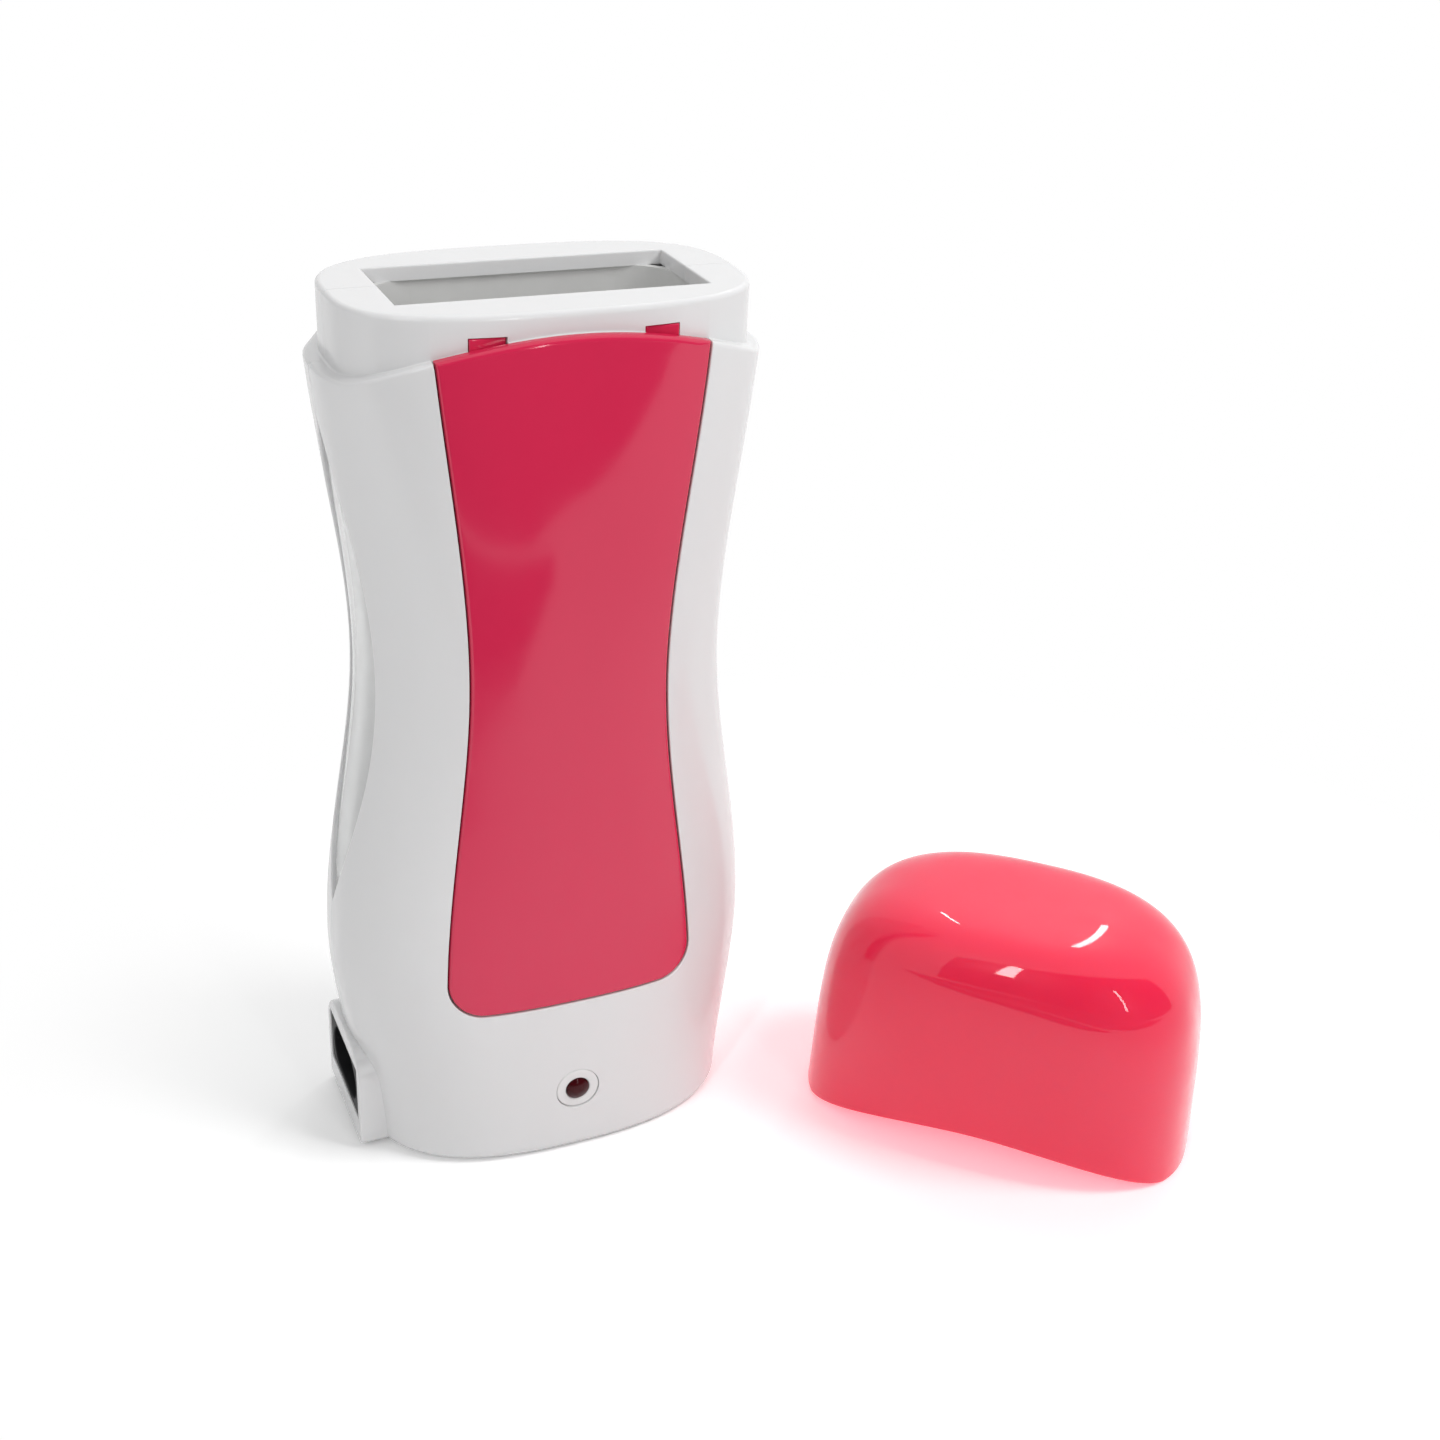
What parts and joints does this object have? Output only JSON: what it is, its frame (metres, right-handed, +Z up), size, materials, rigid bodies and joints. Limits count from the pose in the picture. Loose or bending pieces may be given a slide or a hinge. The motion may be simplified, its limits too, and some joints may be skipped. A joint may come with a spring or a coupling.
{
  "type": "roll-on wax heater",
  "caption": "Waisted hand-held heater for a roll-on wax cartridge, with a clipped front panel, side windows, a lamp, a mains inlet and a lift-off cap.",
  "frame": {"origin": "middle of the heater's flat base, on the surface that it stands on", "axes": "+Z up, -Y towards the front with the panel and the lamp, +X to the right seen from the front; the mains inlet is on the -X side"},
  "size_m": [0.1503, 0.0957, 0.155],
  "materials": {
    "white_abs": "glossy moulded ABS, white",
    "crimson_abs": "high-gloss moulded ABS, crimson",
    "clear_window": "clear moulded polycarbonate",
    "pink_cap": "translucent glossy polypropylene, pink",
    "bezel_white": "glossy moulded ABS, white",
    "lens_red": "dark red translucent lens",
    "lamp_epoxy": "red LED epoxy",
    "board_laminate": "glass-fibre laminate, green solder mask",
    "resistor_body": "lacquered resistor body, tan",
    "inlet_black": "black moulded inlet",
    "plated_brass": "nickel-plated brass pins",
    "sleeve_white": "heat-resistant white moulding",
    "plate_aluminium": "plain aluminium sheet",
    "tablet_ceramic": "ceramic heating tablet",
    "electrode_metal": "plain metal strip",
    "amber_film": "amber polyimide film",
    "spring_steel": "spring steel strap",
    "screw_steel": "zinc-plated steel",
    "fuse_body": "thermal fuse case",
    "glass_sleeving": "glass-fibre sleeving",
    "brown_insulation": "brown wire insulation",
    "blue_insulation": "blue wire insulation",
    "grey_insulation": "grey wire insulation"
  },
  "bodies": {
    "heater": {"front_shell": "white_abs", "rear_shell": "white_abs", "front_panel": "crimson_abs", "window_left": "clear_window", "window_right": "clear_window", "led_bezel": "bezel_white", "led_lens": "lens_red", "led_lamp": "lamp_epoxy", "led_board": "board_laminate", "dropper_resistor": "resistor_body", "inlet_body": "inlet_black", "inlet_pins": "plated_brass", "cartridge_sleeve": "sleeve_white", "heater_plate": "plate_aluminium", "heating_tablets": "tablet_ceramic", "electrode_strips": "electrode_metal", "insulation_film": "amber_film", "heater_clamp": "spring_steel", "clamp_screws": "screw_steel", "thermal_fuse": "fuse_body", "fuse_sleeve": "glass_sleeving", "live_wires": "brown_insulation", "neutral_wire": "blue_insulation", "lamp_wires": "grey_insulation", "case_screws": "screw_steel"},
    "cap": {"cap": "pink_cap"}
  },
  "joints": [
    {"name": "cap_lift", "type": "slide", "parent": "heater", "child": "cap", "axis": [0, 0, 1], "range_m": [0, 0.16]}
  ]
}
